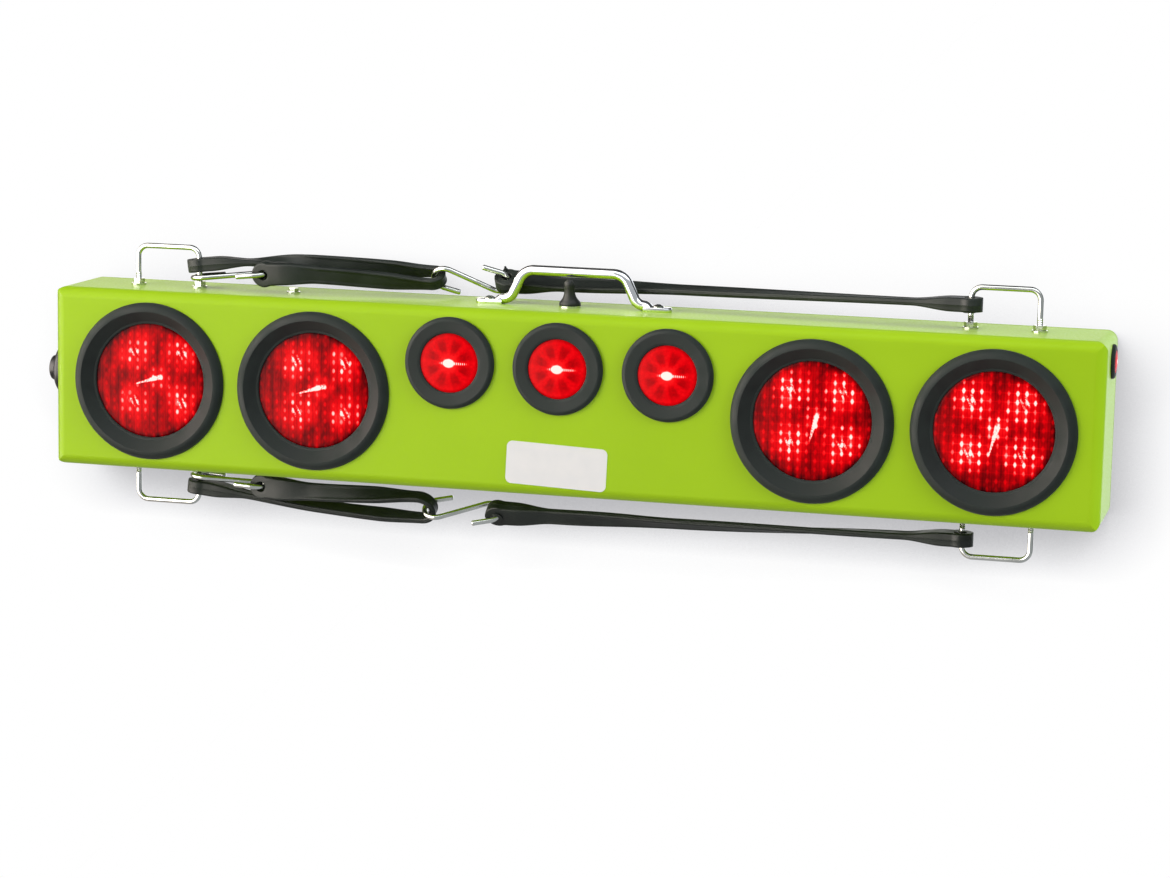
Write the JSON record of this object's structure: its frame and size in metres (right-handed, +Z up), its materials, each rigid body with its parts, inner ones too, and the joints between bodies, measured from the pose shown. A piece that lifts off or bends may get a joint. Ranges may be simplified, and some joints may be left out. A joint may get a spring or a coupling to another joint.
{
  "type": "trailer lighting board",
  "caption": "Portable trailer lighting board: a long green steel bar with round red lamps, wire bails and rubber straps that hook over them, and a carrying handle",
  "frame": {"origin": "middle of the back face of the rear cover", "axes": "+X along the bar, towards its end without the charging port; +Y out of the back, so the lamps face -Y; +Z up, the side with the handle"},
  "size_m": [0.9421, 0.093, 0.2351],
  "materials": {
    "green_paint": "satin lime green powder coat",
    "foam": "closed-cell foam, pressed flat",
    "black_rubber": "matt moulded rubber",
    "red_lens": "clear red moulded lens",
    "mirror_coat": "bright vacuum-metallised plastic",
    "black_plastic": "moulded black plastic",
    "led": "light-emitting chips on carriers",
    "zinc": "bright zinc-plated steel",
    "bright_chrome": "polished chrome plate",
    "gloss_black": "glossy black plastic",
    "strap_rubber": "black moulded rubber",
    "white_label": "bare white film",
    "battery_case": "plain battery case"
  },
  "bodies": {
    "board": {"housing": "green_paint", "rear_cover": "green_paint", "cover_gasket": "foam", "tail_grommet_1": "black_rubber", "tail_grommet_2": "black_rubber", "tail_grommet_3": "black_rubber", "tail_grommet_4": "black_rubber", "id_grommet_1": "black_rubber", "id_grommet_2": "black_rubber", "id_grommet_3": "black_rubber", "marker_grommet_left": "black_rubber", "marker_grommet_right": "black_rubber", "switch_boot": "black_rubber", "tail_lens_1": "red_lens", "tail_lens_2": "red_lens", "tail_lens_3": "red_lens", "tail_lens_4": "red_lens", "id_lens_1": "red_lens", "id_lens_2": "red_lens", "id_lens_3": "red_lens", "marker_lamp_left": "red_lens", "marker_lamp_right": "red_lens", "tail_reflector_1": "mirror_coat", "tail_reflector_2": "mirror_coat", "tail_reflector_3": "mirror_coat", "tail_reflector_4": "mirror_coat", "tail_body_1": "black_plastic", "tail_body_2": "black_plastic", "tail_body_3": "black_plastic", "tail_body_4": "black_plastic", "id_body_1": "black_plastic", "id_body_2": "black_plastic", "id_body_3": "black_plastic", "switch_body": "black_plastic", "receiver": "black_plastic", "lamp_chips": "led", "cover_screws": "zinc", "bail_top_left": "zinc", "bail_top_right": "zinc", "bail_bottom_left": "zinc", "bail_bottom_right": "zinc", "bail_nuts": "zinc", "handle_screws": "zinc", "switch_nut": "zinc", "hook_top_left": "zinc", "hook_top_middle": "zinc", "hook_bottom_left": "zinc", "hook_bottom_middle": "zinc", "battery_bracket": "zinc", "battery_bolt": "zinc", "handle": "bright_chrome", "port_socket": "gloss_black", "strap_top_left": "strap_rubber", "strap_top_right": "strap_rubber", "strap_bottom_left": "strap_rubber", "strap_bottom_right": "strap_rubber", "label_plate": "white_label", "battery": "battery_case"},
    "lever": {"switch_lever": "bright_chrome"},
    "cap": {"port_cap": "gloss_black"}
  },
  "joints": [
    {"name": "switch_toggle", "type": "hinge", "parent": "board", "child": "lever", "pos_m": [-0.003, -0.04, 0.081], "axis": [-1, 0, 0], "range_deg": [0, 24], "deforming": ["switch_boot"]},
    {"name": "cap_pull", "type": "slide", "parent": "board", "child": "cap", "axis": [-1, 0, 0], "range_m": [0, 0.02]}
  ]
}
